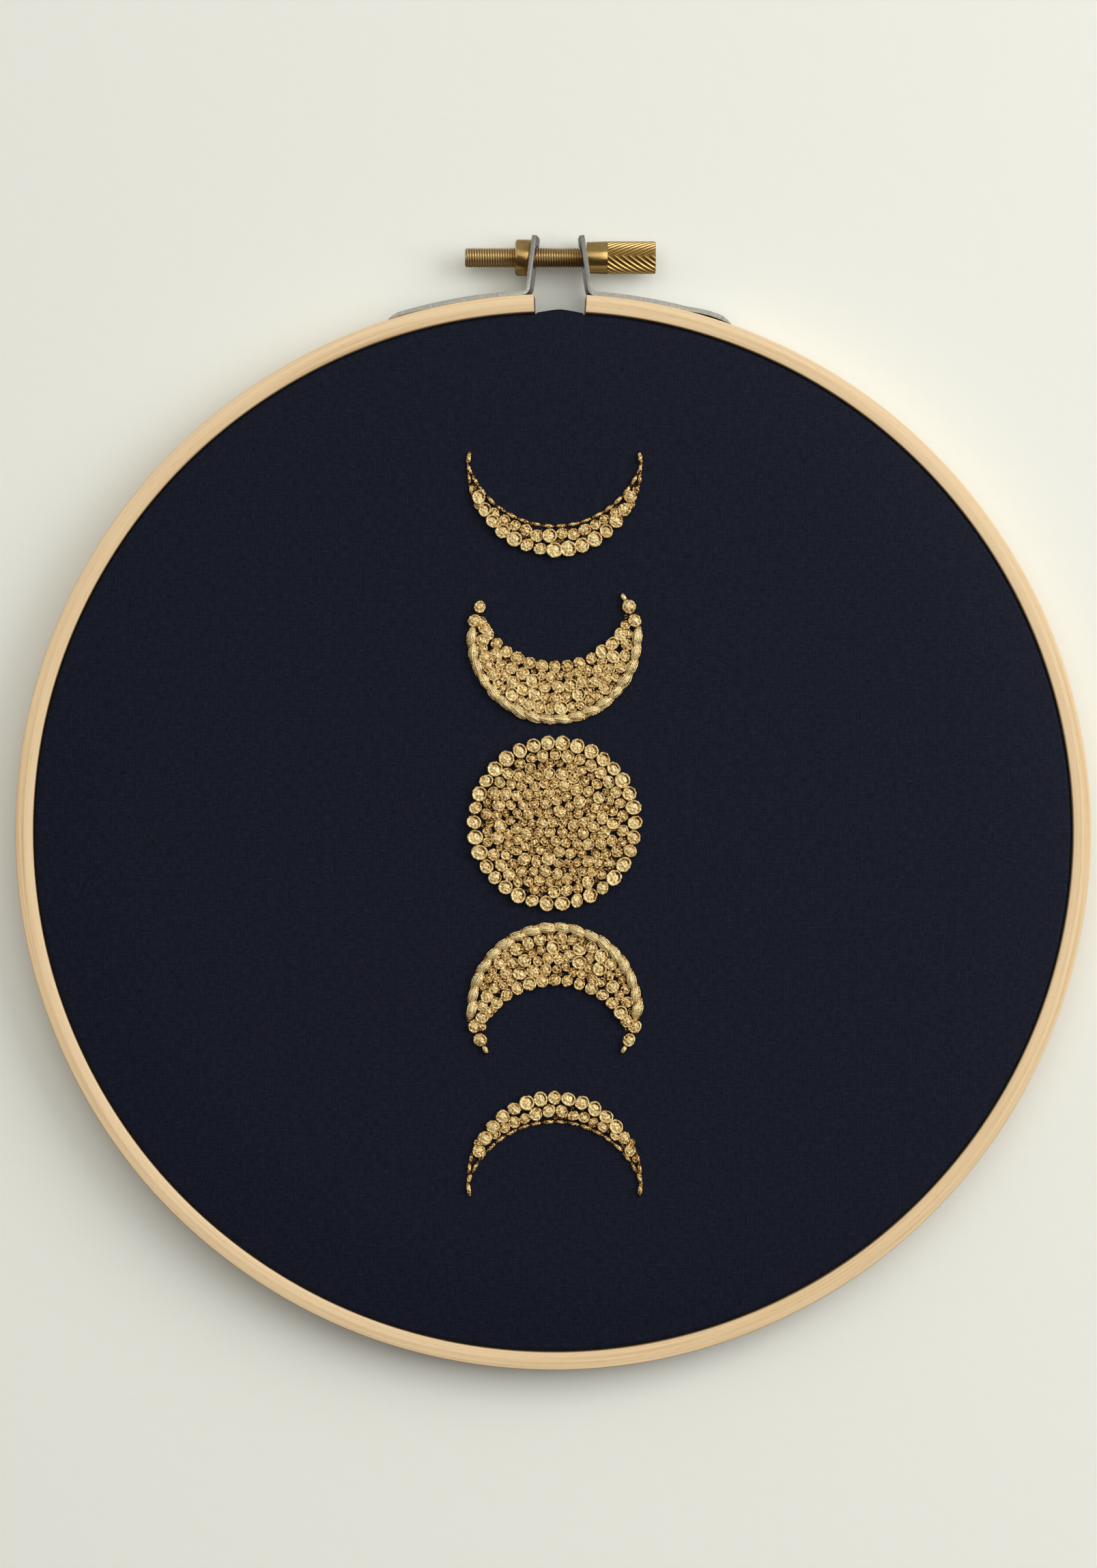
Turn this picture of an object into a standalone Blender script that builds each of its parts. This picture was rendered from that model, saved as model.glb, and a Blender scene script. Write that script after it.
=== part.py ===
"""Hoop embroidery on a wall: dark cloth stretched in a round wooden hoop, with five moons of knots.

Run in Blender 4.5. Metres, +Z up, front towards -Y, wall towards +Y. The origin is the point where
the piece hangs: the underside of the screw's shank, in the middle of the outer hoop's gap.
"""

import math

import bmesh
import bpy
from mathutils import Vector

MM = 0.001

# Clearance between neighbouring pieces
GAP = 0.3 * MM

# Outer hoop, split at the top
OUTER_R = 104.9 * MM
RING_THICK = 3.4 * MM
OUTER_DEPTH = 10.0 * MM
SPLIT_WIDTH = 10.2 * MM
SPLIT_ASIDE = 1.4 * MM  # the split's middle lies this far right of the hoop's centre
EDGE_ROUND = 0.9 * MM
HOOP_STEPS = 72

# Cloth, pressed between the two hoops and trimmed at the back
CLOTH_THICK = 1.0 * MM
CLOTH_RECESS = 0.6 * MM
CLOTH_BULGE = 0.9 * MM
BULGE_SHARE = 0.92
CLOTH_RIM_ROUND = 0.7 * MM
TRIM_BEHIND = 0.1 * MM

# Screw and nut, along X above the hoop
SHANK_R = 2.0 * MM
SCREW_ABOVE_CENTRE = 112.5 * MM
SHANK_END = -18.6 * MM
COLLAR_START = 5.9 * MM
COLLAR_END = 9.2 * MM
HEAD_END = 18.7 * MM
HEAD_R = 3.16 * MM
COLLAR_R = 3.04 * MM
SHOULDER = 0.08 * MM
CHAMFER = 0.35 * MM
NUT_R = 3.55 * MM
NUT_END = -8.77 * MM
TURNED_STEPS = 32

# Brackets of sheet steel: a strap on the hoop, a bend and an ear with a hole
STEEL_THICK = 0.9 * MM
STEEL_WIDTH = 8.0 * MM
EAR_TOP_ABOVE_CENTRE = 116.6 * MM
EAR_CORNER = 1.4 * MM
BEND_R = 1.6 * MM
TOE_IN = 0.085
STRAP_ANGLE = math.radians(18.6)
STRAP_CURL = 2.2 * MM
BRACKETS = {
    # name: side, distance of the ear's middle from the split's middle, lean, lift before the strap's tip
    "bracket_left": (-1, 5.23 * MM, math.radians(7.5), 0.0 * MM),
    "bracket_right": (1, 4.60 * MM, math.radians(8.4), 0.35 * MM),
}

# Moons of knots, one above the other; heights are from the hoop's centre
MOON_R = 17.25 * MM
MOON_X = 0.3 * MM
MOON_HEIGHT = 1.35 * MM
KNOT_WIDTH = 3.1 * MM
KNOT_LUMP = 0.28 * MM
MOON_BEVEL = 0.55 * MM
HORN_HALF_WIDTH = 0.45 * MM
STEPS_PER_KNOT = 3
CRESCENTS = {
    # name: disc's centre height, horns up or down, radius cut away, how far that cut is shifted
    "moon_top_thin": (70.65 * MM, 1, 17.60 * MM, 6.9 * MM),
    "moon_top_thick": (38.15 * MM, 1, 15.10 * MM, 10.4 * MM),
    "moon_bottom_thick": (-34.75 * MM, -1, 15.10 * MM, 10.4 * MM),
    "moon_bottom_thin": (-67.45 * MM, -1, 17.60 * MM, 6.9 * MM),
}
FULL_MOON_HEIGHT = 1.7 * MM

# Values that follow from those above
OUTER_INSIDE = OUTER_R - RING_THICK
CLOTH_OUTSIDE = OUTER_INSIDE - GAP
CLOTH_INSIDE = CLOTH_OUTSIDE - CLOTH_THICK
INNER_R = CLOTH_INSIDE - GAP
FRONT = -OUTER_DEPTH / 2
BACK = OUTER_DEPTH / 2
CLOTH_FRONT = FRONT + CLOTH_RECESS
CLOTH_BACK = CLOTH_FRONT + CLOTH_THICK
SPLIT_ANGLE = math.asin(SPLIT_WIDTH / 2 / (OUTER_R - RING_THICK / 2))
SPLIT_TURN = math.asin(SPLIT_ASIDE / (OUTER_R - RING_THICK / 2))
HOOP_X = -SPLIT_ASIDE
SCREW_Z = SHANK_R
HOOP_Z = SCREW_Z - SCREW_ABOVE_CENTRE
BORE_R = SHANK_R + GAP
STRAP_R = OUTER_R + GAP + STEEL_THICK / 2

MATERIALS = {
    # name: colour (linear), metallic, roughness
    "wood": ((0.70, 0.50, 0.28), 0.0, 0.55),
    "cloth": ((0.010, 0.012, 0.026), 0.0, 0.9),
    "gold_thread": ((0.62, 0.40, 0.16), 0.7, 0.4),
    "steel": ((0.42, 0.42, 0.40), 1.0, 0.38),
    "brass": ((0.50, 0.33, 0.11), 1.0, 0.3),
}


def clear_scene():
    for item in list(bpy.data.objects):
        bpy.data.objects.remove(item, do_unlink=True)


def make_material(name):
    colour, metallic, roughness = MATERIALS[name]
    material = bpy.data.materials.new(name)
    material.use_nodes = True
    shader = material.node_tree.nodes["Principled BSDF"]
    shader.inputs["Base Color"].default_value = (*colour, 1.0)
    shader.inputs["Metallic"].default_value = metallic
    shader.inputs["Roughness"].default_value = roughness
    material.diffuse_color = (*colour, 1.0)
    return material


def make_object(name, bm, material, place, parent):
    """One closed body from a bmesh, shaded smooth, standing at its place under its parent."""
    bmesh.ops.recalc_face_normals(bm, faces=bm.faces)
    mesh = bpy.data.meshes.new(name)
    bm.to_mesh(mesh)
    bm.free()
    mesh.shade_smooth()
    mesh.set_sharp_from_angle(angle=math.radians(35))
    mesh.materials.append(material)
    item = bpy.data.objects.new(name, mesh)
    item.location = place
    item.parent = parent
    bpy.context.scene.collection.objects.link(item)
    return item


def on_ring(radius, angle, y):
    """A point around the hoop's centre; the angle runs clockwise from the top, seen from the front."""
    return Vector((radius * math.sin(angle), y, radius * math.cos(angle)))


def about_x(x, radius, angle):
    return Vector((x, radius * math.cos(angle), radius * math.sin(angle)))


def spread(first, last, steps):
    return [first + (last - first) * i / steps for i in range(steps + 1)]


def skin(bm, sections, closed):
    """Quads between like sections, each a closed outline; an open run is capped at both ends."""
    rows = [[bm.verts.new(point) for point in section] for section in sections]
    pairs = list(zip(rows, rows[1:]))
    if closed:
        pairs.append((rows[-1], rows[0]))
    count = len(rows[0])
    for a, b in pairs:
        for i in range(count):
            j = (i + 1) % count
            bm.faces.new((a[i], a[j], b[j], b[i]))
    if not closed:
        bm.faces.new(rows[0])
        bm.faces.new(rows[-1])


def round_outline(low, high, edge, steps=2):
    """Outline of a rectangle with rounded corners, between two (radius, y) corners."""
    corners = [
        (high[0] - edge, high[1] - edge, 0.0),
        (low[0] + edge, high[1] - edge, 0.5 * math.pi),
        (low[0] + edge, low[1] + edge, math.pi),
        (high[0] - edge, low[1] + edge, 1.5 * math.pi),
    ]
    outline = []
    for r, y, start in corners:
        for turn in spread(start, start + 0.5 * math.pi, steps):
            outline.append((r + edge * math.cos(turn), y + edge * math.sin(turn)))
    return outline


def outer_hoop(material, parent):
    bm = bmesh.new()
    outline = round_outline((OUTER_INSIDE, FRONT), (OUTER_R, BACK), EDGE_ROUND)
    angles = spread(SPLIT_TURN + SPLIT_ANGLE, SPLIT_TURN + 2 * math.pi - SPLIT_ANGLE, HOOP_STEPS)
    skin(bm, [[on_ring(r, angle, y) for r, y in outline] for angle in angles], closed=False)
    return make_object("outer_hoop", bm, material, (HOOP_X, 0, HOOP_Z), parent)


def inner_hoop(material, parent):
    bm = bmesh.new()
    front = CLOTH_BACK + GAP
    outline = round_outline((INNER_R - RING_THICK, front), (INNER_R, BACK - TRIM_BEHIND), EDGE_ROUND)
    angles = spread(0, 2 * math.pi, HOOP_STEPS)[:-1]
    skin(bm, [[on_ring(r, angle, y) for r, y in outline] for angle in angles], closed=True)
    return make_object("inner_hoop", bm, material, (HOOP_X, 0, HOOP_Z), parent)


def bulge_at(angle):
    """How far the cloth swells out where the split leaves it free, at an angle from the split's middle."""
    reach = SPLIT_ANGLE * BULGE_SHARE
    turn = min(angle, 2 * math.pi - angle)
    if turn >= reach:
        return 0.0
    return CLOTH_BULGE * math.cos(0.5 * math.pi * turn / reach) ** 2


def cloth(material, parent):
    """A disc with its edge turned back between the hoops: front, rim, skirt, and the same inside."""
    edge = CLOTH_RIM_ROUND
    outside = [(CLOTH_OUTSIDE - edge, CLOTH_FRONT)]
    for turn in spread(0, 0.5 * math.pi, 3)[1:]:
        r = CLOTH_OUTSIDE - edge + edge * math.sin(turn)
        outside.append((r, CLOTH_FRONT + edge - edge * math.cos(turn)))
    skirt = [
        (CLOTH_OUTSIDE, BACK - TRIM_BEHIND),
        (CLOTH_INSIDE, BACK - TRIM_BEHIND),
        (CLOTH_INSIDE, CLOTH_BACK),
    ]
    profile = outside + skirt
    reach = SPLIT_ANGLE * BULGE_SHARE
    near_split = [-reach, -0.66 * reach, -0.33 * reach, 0.0, 0.33 * reach, 0.66 * reach]
    angles = near_split + spread(reach, 2 * math.pi - reach, HOOP_STEPS)[:-1]
    bm = bmesh.new()
    rows = []
    for angle in angles:
        swell = bulge_at(angle % (2 * math.pi))
        rows.append([bm.verts.new(on_ring(r + swell, SPLIT_TURN + angle, y)) for r, y in profile])
    front = bm.verts.new((0, CLOTH_FRONT, 0))
    back = bm.verts.new((0, CLOTH_BACK, 0))
    for a, b in zip(rows, rows[1:] + rows[:1]):
        for i in range(len(profile) - 1):
            bm.faces.new((a[i], a[i + 1], b[i + 1], b[i]))
        bm.faces.new((a[0], b[0], front))
        bm.faces.new((a[-1], b[-1], back))
    return make_object("cloth", bm, material, (HOOP_X, 0, HOOP_Z), parent)


def strap_lift(along, lift):
    """Height of the strap above its usual place, measured back from its tip."""
    if along > 4 * STRAP_CURL:
        return 0.0
    return lift * math.sin(math.pi * along / (4 * STRAP_CURL))


def bracket_path(side, middle, lean, lift):
    """Stations of a bracket, as seen from the hoop's centre with its side taken as +X.

    Each is a point, a normal in XZ, a thickness, a width and a share of the toe-in.
    """
    tip = STRAP_ANGLE + side * SPLIT_TURN
    start = Vector((middle + side * SPLIT_ASIDE, 0, SCREW_ABOVE_CENTRE))
    up = Vector((-math.sin(lean), 0, math.cos(lean)))
    out = Vector((math.cos(lean), 0, math.sin(lean)))
    offset = start + out * BEND_R
    half = offset.dot(up)
    down = -half + math.sqrt(half**2 - offset.length_squared + (STRAP_R + BEND_R) ** 2)
    bend_centre = offset + up * down
    bend_angle = math.atan2(bend_centre.x, bend_centre.z)
    stations = []
    for angle in spread(tip, bend_angle, 12):
        along = (tip - angle) * STRAP_R
        thick = STEEL_THICK * (0.55 + 0.45 * min(1.0, along / STRAP_CURL))
        radius = STRAP_R - (STEEL_THICK - thick) / 2 + strap_lift(along, lift)
        stations.append((on_ring(radius, angle, 0), on_ring(1, angle, 0), thick, STEEL_WIDTH, 0.0))
    first = math.atan2(-bend_centre.z, -bend_centre.x)
    last = math.atan2(-out.z, -out.x)
    for share in spread(0, 1, 5)[1:]:
        turn = first + (last - first) * share
        spoke = Vector((math.cos(turn), 0, math.sin(turn)))
        stations.append((bend_centre + spoke * BEND_R, -spoke, STEEL_THICK, STEEL_WIDTH, share))
    foot = stations[-1][0]
    top = (EAR_TOP_ABOVE_CENTRE - foot.z) / up.z
    for share in spread(0, 1, 4)[1:]:
        turn = 0.5 * math.pi * share
        height = top - EAR_CORNER + EAR_CORNER * math.sin(turn)
        width = STEEL_WIDTH - 2 * EAR_CORNER * (1 - math.cos(turn))
        stations.append((foot + up * height, out, STEEL_THICK, width, 1.0))
    stations.insert(-4, (foot + up * (top - EAR_CORNER), out, STEEL_THICK, STEEL_WIDTH, 1.0))
    return stations


def bracket(name, bore, material, parent):
    side, middle, lean, lift = BRACKETS[name]
    sections = []
    for point, normal, thick, width, toe in bracket_path(side, middle, lean, lift):
        section = []
        for across, y in ((-1, -1), (1, -1), (1, 1), (-1, 1)):
            corner = point + normal * (across * thick / 2)
            depth = y * width / 2
            x = corner.x - TOE_IN * toe * depth
            section.append((side * x, depth, corner.z))
        sections.append(section)
    bm = bmesh.new()
    skin(bm, sections, closed=False)
    item = make_object(name, bm, material, (HOOP_X, 0, HOOP_Z), parent)
    cut = item.modifiers.new("hole", "BOOLEAN")
    cut.operation = "DIFFERENCE"
    cut.solver = "EXACT"
    cut.object = bore
    return item


def bore_cutter(parent):
    """The round hole through both ears, along the screw."""
    bm = bmesh.new()
    ends = (NUT_END, COLLAR_END)
    turns = spread(0, 2 * math.pi, TURNED_STEPS)[:-1]
    skin(bm, [[about_x(x, BORE_R, turn) for turn in turns] for x in ends], closed=False)
    bmesh.ops.recalc_face_normals(bm, faces=bm.faces)
    mesh = bpy.data.meshes.new("bore_cutter")
    bm.to_mesh(mesh)
    bm.free()
    item = bpy.data.objects.new("bore_cutter", mesh)
    item.location = (0, 0, SCREW_Z)
    item.parent = parent
    item.hide_render = True
    item.display_type = "WIRE"
    bpy.context.scene.collection.objects.link(item)
    return item


def nut(material, parent):
    """A round nut whose seat follows the leaning left ear; the shank runs through it with clearance."""
    side, middle, lean, _ = BRACKETS["bracket_left"]
    sections = []
    for turn in spread(0, 2 * math.pi, TURNED_STEPS)[:-1]:
        section = [
            about_x(NUT_END, BORE_R, turn),
            about_x(NUT_END, NUT_R - CHAMFER, turn),
            about_x(NUT_END + CHAMFER, NUT_R, turn),
        ]
        for radius in (NUT_R, BORE_R):
            point = about_x(0, radius, turn)
            face = side * middle - (STEEL_THICK / 2) / math.cos(lean)
            point.x = face + point.z * math.tan(lean) + TOE_IN * point.y - GAP
            section.append(point)
        sections.append(section)
    bm = bmesh.new()
    skin(bm, sections, closed=True)
    return make_object("nut", bm, material, (0, 0, SCREW_Z), parent)


def thumbscrew(material, parent):
    """One turned piece: shank, collar and long head. It stands on its own axis and turns about X."""
    profile = [
        (SHANK_END, SHANK_R - CHAMFER),
        (SHANK_END + CHAMFER, SHANK_R),
        (COLLAR_START, SHANK_R),
        (COLLAR_START, COLLAR_R),
        (COLLAR_END, HEAD_R),
        (COLLAR_END, HEAD_R - SHOULDER),
        (HEAD_END - CHAMFER, HEAD_R - SHOULDER),
        (HEAD_END, HEAD_R - SHOULDER - CHAMFER),
    ]
    turns = spread(0, 2 * math.pi, TURNED_STEPS)[:-1]
    bm = bmesh.new()
    skin(bm, [[about_x(x, r, turn) for turn in turns] for x, r in profile], closed=False)
    return make_object("thumbscrew", bm, material, (0, 0, SCREW_Z), parent)


def lump(share):
    """Scallop of a row of knots: 0 between two knots, full on a knot's middle."""
    return KNOT_LUMP * abs(math.sin(math.pi * share))


def crescent(name, material, parent):
    """A raised crescent: the disc less a shifted disc, its outer edge scalloped by its knots."""
    height, horns, cut_r, shift = CRESCENTS[name]
    tip_up = (MOON_R**2 - cut_r**2 + shift**2) / (2 * shift)
    tip_out = math.sqrt(MOON_R**2 - tip_up**2)
    outer_turn = math.atan2(tip_out, -tip_up)
    inner_turn = math.atan2(tip_out, shift - tip_up)
    knots = round(2 * outer_turn * MOON_R / KNOT_WIDTH)
    sections = []
    for i in range(1, knots * STEPS_PER_KNOT):
        share = i / (knots * STEPS_PER_KNOT)
        a = outer_turn * (2 * share - 1)
        b = inner_turn * (2 * share - 1)
        outer = Vector((MOON_R * math.sin(a), 0, -MOON_R * math.cos(a)))
        inner = Vector((cut_r * math.sin(b), 0, shift - cut_r * math.cos(b)))
        middle = (outer + inner) / 2
        across = (outer - inner).normalized()
        half = max(HORN_HALF_WIDTH, (outer - inner).length / 2)
        rise = MOON_HEIGHT * min(1.0, 0.55 + 0.45 * half / KNOT_WIDTH)
        bevel = min(MOON_BEVEL, 0.6 * half)
        outside = half - KNOT_LUMP + lump(i / STEPS_PER_KNOT)
        section = []
        for reach, lift in (
            (outside, 0.0),
            (outside, 0.5),
            (outside - bevel, 1.0),
            (bevel - half, 1.0),
            (-half, 0.5),
            (-half, 0.0),
        ):
            point = middle + across * reach
            section.append((point.x, -rise * lift, horns * point.z))
        sections.append(section)
    bm = bmesh.new()
    skin(bm, sections, closed=False)
    place = (HOOP_X + MOON_X, CLOTH_FRONT - GAP, HOOP_Z + height)
    return make_object(name, bm, material, place, parent)


def full_moon(material, parent):
    """A raised disc with a scalloped rim of knots."""
    knots = round(2 * math.pi * MOON_R / KNOT_WIDTH)
    steps = knots * STEPS_PER_KNOT
    rows = []
    bm = bmesh.new()
    for i in range(steps):
        turn = 2 * math.pi * i / steps
        edge = MOON_R - KNOT_LUMP + lump(i / STEPS_PER_KNOT)
        levels = ((edge, 0.0), (edge, 0.5), (edge - MOON_BEVEL, 1.0))
        rows.append([bm.verts.new(on_ring(r, turn, -MOON_HEIGHT * lift)) for r, lift in levels])
    front = bm.verts.new((0, -MOON_HEIGHT, 0))
    back = bm.verts.new((0, 0, 0))
    for a, b in zip(rows, rows[1:] + rows[:1]):
        bm.faces.new((a[0], b[0], back))
        bm.faces.new((a[0], a[1], b[1], b[0]))
        bm.faces.new((a[1], a[2], b[2], b[1]))
        bm.faces.new((a[2], b[2], front))
    place = (HOOP_X + MOON_X, CLOTH_FRONT - GAP, HOOP_Z + FULL_MOON_HEIGHT)
    return make_object("moon_full", bm, material, place, parent)


def build():
    clear_scene()
    materials = {name: make_material(name) for name in MATERIALS}
    base = bpy.data.objects.new("hoop_art", None)
    bpy.context.scene.collection.objects.link(base)
    outer_hoop(materials["wood"], base)
    inner_hoop(materials["wood"], base)
    cloth(materials["cloth"], base)
    bore = bore_cutter(base)
    for name in BRACKETS:
        bracket(name, bore, materials["steel"], base)
    nut(materials["brass"], base)
    thumbscrew(materials["brass"], base)
    for name in CRESCENTS:
        crescent(name, materials["gold_thread"], base)
    full_moon(materials["gold_thread"], base)


build()
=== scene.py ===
"""Looks of the hoop embroidery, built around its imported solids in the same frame.

Metres, +Z up, front towards -Y, wall towards +Y. Pieces are made about the hoop's centre or the
screw's axis and then placed there. Angles round the hoop run clockwise from its top.
"""

import math
import random

import bmesh
import bpy
import numpy as np
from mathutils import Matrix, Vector


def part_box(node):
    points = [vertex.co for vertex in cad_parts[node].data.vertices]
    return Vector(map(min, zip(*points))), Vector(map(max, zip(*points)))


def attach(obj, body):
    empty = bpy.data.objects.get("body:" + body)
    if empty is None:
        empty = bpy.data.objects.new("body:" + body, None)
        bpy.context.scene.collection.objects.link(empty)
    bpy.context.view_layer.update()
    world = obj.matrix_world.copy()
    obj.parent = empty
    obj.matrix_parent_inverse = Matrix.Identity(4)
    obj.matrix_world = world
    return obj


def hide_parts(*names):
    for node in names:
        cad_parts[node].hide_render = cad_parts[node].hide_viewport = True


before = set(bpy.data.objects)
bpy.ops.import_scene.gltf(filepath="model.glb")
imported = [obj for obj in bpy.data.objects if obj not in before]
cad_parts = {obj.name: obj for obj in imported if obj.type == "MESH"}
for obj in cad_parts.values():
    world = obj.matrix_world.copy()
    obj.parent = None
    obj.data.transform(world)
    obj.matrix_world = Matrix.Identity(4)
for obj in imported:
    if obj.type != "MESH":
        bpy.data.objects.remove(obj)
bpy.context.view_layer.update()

MM = 0.001
TURN = 2 * math.pi

# Sizes that the solids share
OUTER_R = 104.9 * MM
RING_THICK = 3.4 * MM
GAP = 0.3 * MM
CLOTH_THICK = 0.6 * MM
SPLIT_HALF = 5.1 * MM
MOON_R = 17.25 * MM
MOON_X = 0.3 * MM
ring_low, ring_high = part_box("outer_hoop")
cloth_low, cloth_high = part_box("cloth")
inner_low, inner_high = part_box("inner_hoop")
screw_low, screw_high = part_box("thumbscrew")
HOOP = (inner_low + inner_high) / 2
HOOP.y = 0
SCREW = Vector((0, 0, (screw_low.z + screw_high.z) / 2))
OUTER_INSIDE = OUTER_R - RING_THICK
CLOTH_R = OUTER_INSIDE - GAP
CLOTH_FRONT = cloth_low.y
INNER_OUTSIDE = (inner_high.x - inner_low.x) / 2
SPLIT_ANGLE = math.asin(SPLIT_HALF / (OUTER_R - RING_THICK / 2))
SPLIT_TURN = math.asin(-HOOP.x / (OUTER_R - RING_THICK / 2))


# Materials


def linear(code):
    """An sRGB hex colour as linear red, green, blue and alpha."""
    parts = [int(code[i : i + 2], 16) / 255 for i in (1, 3, 5)]
    return (*[c / 12.92 if c <= 0.04045 else ((c + 0.055) / 1.055) ** 2.4 for c in parts], 1.0)


def new_material(name):
    """A material with its Principled shader, and the function that adds nodes to it."""
    material = bpy.data.materials.new(name)
    material.use_nodes = True
    tree = material.node_tree
    shader = tree.nodes["Principled BSDF"]

    def add(kind, links=(), **settings):
        """Adds a node. A setting names a property, or an input by name or number; links give inputs."""
        node = tree.nodes.new(kind)
        for key, value in settings.items():
            if hasattr(node, key):
                setattr(node, key, value)
            else:
                socket = node.inputs[int(key[1:])] if key[1:].isdigit() else node.inputs[key]
                socket.default_value = value
        for socket, source in dict(links).items():
            tree.links.new(source, node.inputs[socket])
        return node

    def wear(**sources):
        """Links outputs to the shader's inputs, with _ for a space in their names."""
        for key, source in sources.items():
            tree.links.new(source, shader.inputs[key.replace("_", " ")])

    return material, shader, add, wear


def ramp_of(add, source, stops):
    """A colour ramp over source, with stops of (position, hex colour)."""
    node = add("ShaderNodeValToRGB", {"Fac": source})
    ramp = node.color_ramp
    while len(ramp.elements) < len(stops):
        ramp.elements.new(0.5)
    for element, (position, code) in zip(ramp.elements, stops):
        element.position = position
        element.color = linear(code)
    return node.outputs["Color"]


def scaled(add, coordinates, sizes):
    """Coordinates divided by a pattern's sizes in metres, so that one pattern cell is one unit."""
    node = add("ShaderNodeVectorMath", {0: coordinates}, operation="MULTIPLY")
    node.inputs[1].default_value = [1 / size for size in sizes]
    return node.outputs["Vector"]


def beech():
    """Beech, steam-bent and sanded: pale, matt, with fine darker fibres that run round the ring."""
    material, shader, add, wear = new_material("sanded beech")
    shader.inputs["Roughness"].default_value = 0.62
    shader.inputs["Specular IOR Level"].default_value = 0.35
    along = add("ShaderNodeUVMap", uv_map="grain").outputs["UV"]
    fibres = add("ShaderNodeTexNoise", {"Vector": scaled(add, along, (30 * MM, 0.30 * MM, 1))},
                 Scale=1.0, Detail=3.0, Roughness=0.55)
    bands = add("ShaderNodeTexNoise", {"Vector": scaled(add, along, (180 * MM, 0.9 * MM, 1))},
                Scale=1.0, Detail=1.0)
    pores = add("ShaderNodeTexNoise", {"Vector": scaled(add, along, (2.6 * MM, 0.12 * MM, 1))},
                Scale=1.0, Detail=1.0)
    mixed = add("ShaderNodeMath", {0: fibres.outputs["Fac"], 1: bands.outputs["Fac"]}, operation="ADD")
    tone = add("ShaderNodeMath", {0: mixed.outputs[0]}, operation="MULTIPLY", _1=0.5)
    colour = ramp_of(add, tone.outputs[0], [
        (0.30, "#D4AE80"), (0.40, "#E6C698"), (0.52, "#F0D2A6"), (0.64, "#F5D9B0"), (0.74, "#E9CA9D"),
    ])
    specks = ramp_of(add, pores.outputs["Fac"], [(0.24, "#DCC8AC"), (0.36, "#FFFFFF")])
    long_grain = add("ShaderNodeMix", {"A": colour, "B": specks}, data_type="RGBA",
                     blend_type="MULTIPLY", Factor=0.7)
    # The cut ends at the split are end grain, which is darker
    run = add("ShaderNodeSeparateXYZ", {0: along})
    split_end, near = SPLIT_ANGLE * OUTER_R, 0.03 * MM
    first, last = [
        add("ShaderNodeMath", {0: run.outputs["X"]}, operation="COMPARE", _1=cut, _2=near)
        for cut in (split_end, TURN * OUTER_R - split_end)
    ]
    end_grain = add("ShaderNodeMath", {0: first.outputs[0], 1: last.outputs[0]}, operation="MAXIMUM")
    whole = add("ShaderNodeMix", {"Factor": end_grain.outputs[0], "A": long_grain.outputs["Result"]},
                data_type="RGBA", B=linear("#6E5C46"))
    relief = add("ShaderNodeBump", {"Height": fibres.outputs["Fac"]}, Strength=0.22, Distance=0.05 * MM)
    wear(Base_Color=whole.outputs["Result"], Normal=relief.outputs["Normal"])
    return material


def navy_cotton():
    """Plain-woven cotton, dyed blue-black: matt, a faint grid of threads drawn with painted shade between
    them, some a little lighter.
    """
    material, shader, add, wear = new_material("navy cotton")
    shader.inputs["Roughness"].default_value = 0.6
    shader.inputs["Specular IOR Level"].default_value = 0.12
    warp, weft, slub = 0.42 * MM, 0.47 * MM, 1.6 * MM
    place = add("ShaderNodeTexCoord").outputs["Object"]
    axes = add("ShaderNodeSeparateXYZ", {0: scaled(add, place, (warp, 1, weft))})
    across = add("ShaderNodeMath", {0: axes.outputs["X"]}, operation="MULTIPLY", _1=math.pi)
    down = add("ShaderNodeMath", {0: axes.outputs["Z"]}, operation="MULTIPLY", _1=math.pi)
    wave_x = add("ShaderNodeMath", {0: across.outputs[0]}, operation="SINE")
    wave_z = add("ShaderNodeMath", {0: down.outputs[0]}, operation="SINE")
    # Painted shade: the lines between threads are drawn darker and the crossings lighter; the same tone
    # drives the bump.
    crossings = add("ShaderNodeMath", {0: wave_x.outputs[0], 1: wave_z.outputs[0]}, operation="MULTIPLY")
    weave_shade = add("ShaderNodeMath", {0: crossings.outputs[0]}, operation="ABSOLUTE")
    upright = add("ShaderNodeTexNoise", {"Vector": scaled(add, place, (warp * 0.8, 1, slub))},
                  Scale=1.0, Detail=1.0)
    level = add("ShaderNodeTexNoise", {"Vector": scaled(add, place, (slub, 1, weft * 0.8))},
                Scale=1.0, Detail=1.0)
    slubs = add("ShaderNodeMath", {0: upright.outputs["Fac"], 1: level.outputs["Fac"]}, operation="MAXIMUM")
    raised = add("ShaderNodeMapRange", {"Value": weave_shade.outputs[0]}, _3=0.7)
    tone = add("ShaderNodeMath", {0: slubs.outputs[0], 1: raised.outputs["Result"]}, operation="MULTIPLY")
    colour = ramp_of(add, tone.outputs[0], [
        (0.28, "#0C0E18"), (0.42, "#121523"), (0.58, "#171B2B"), (0.76, "#20273D"),
    ])
    relief = add("ShaderNodeBump", {"Height": tone.outputs[0]}, Strength=0.5, Distance=0.10 * MM)
    wear(Base_Color=colour, Normal=relief.outputs["Normal"])
    return material


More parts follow.
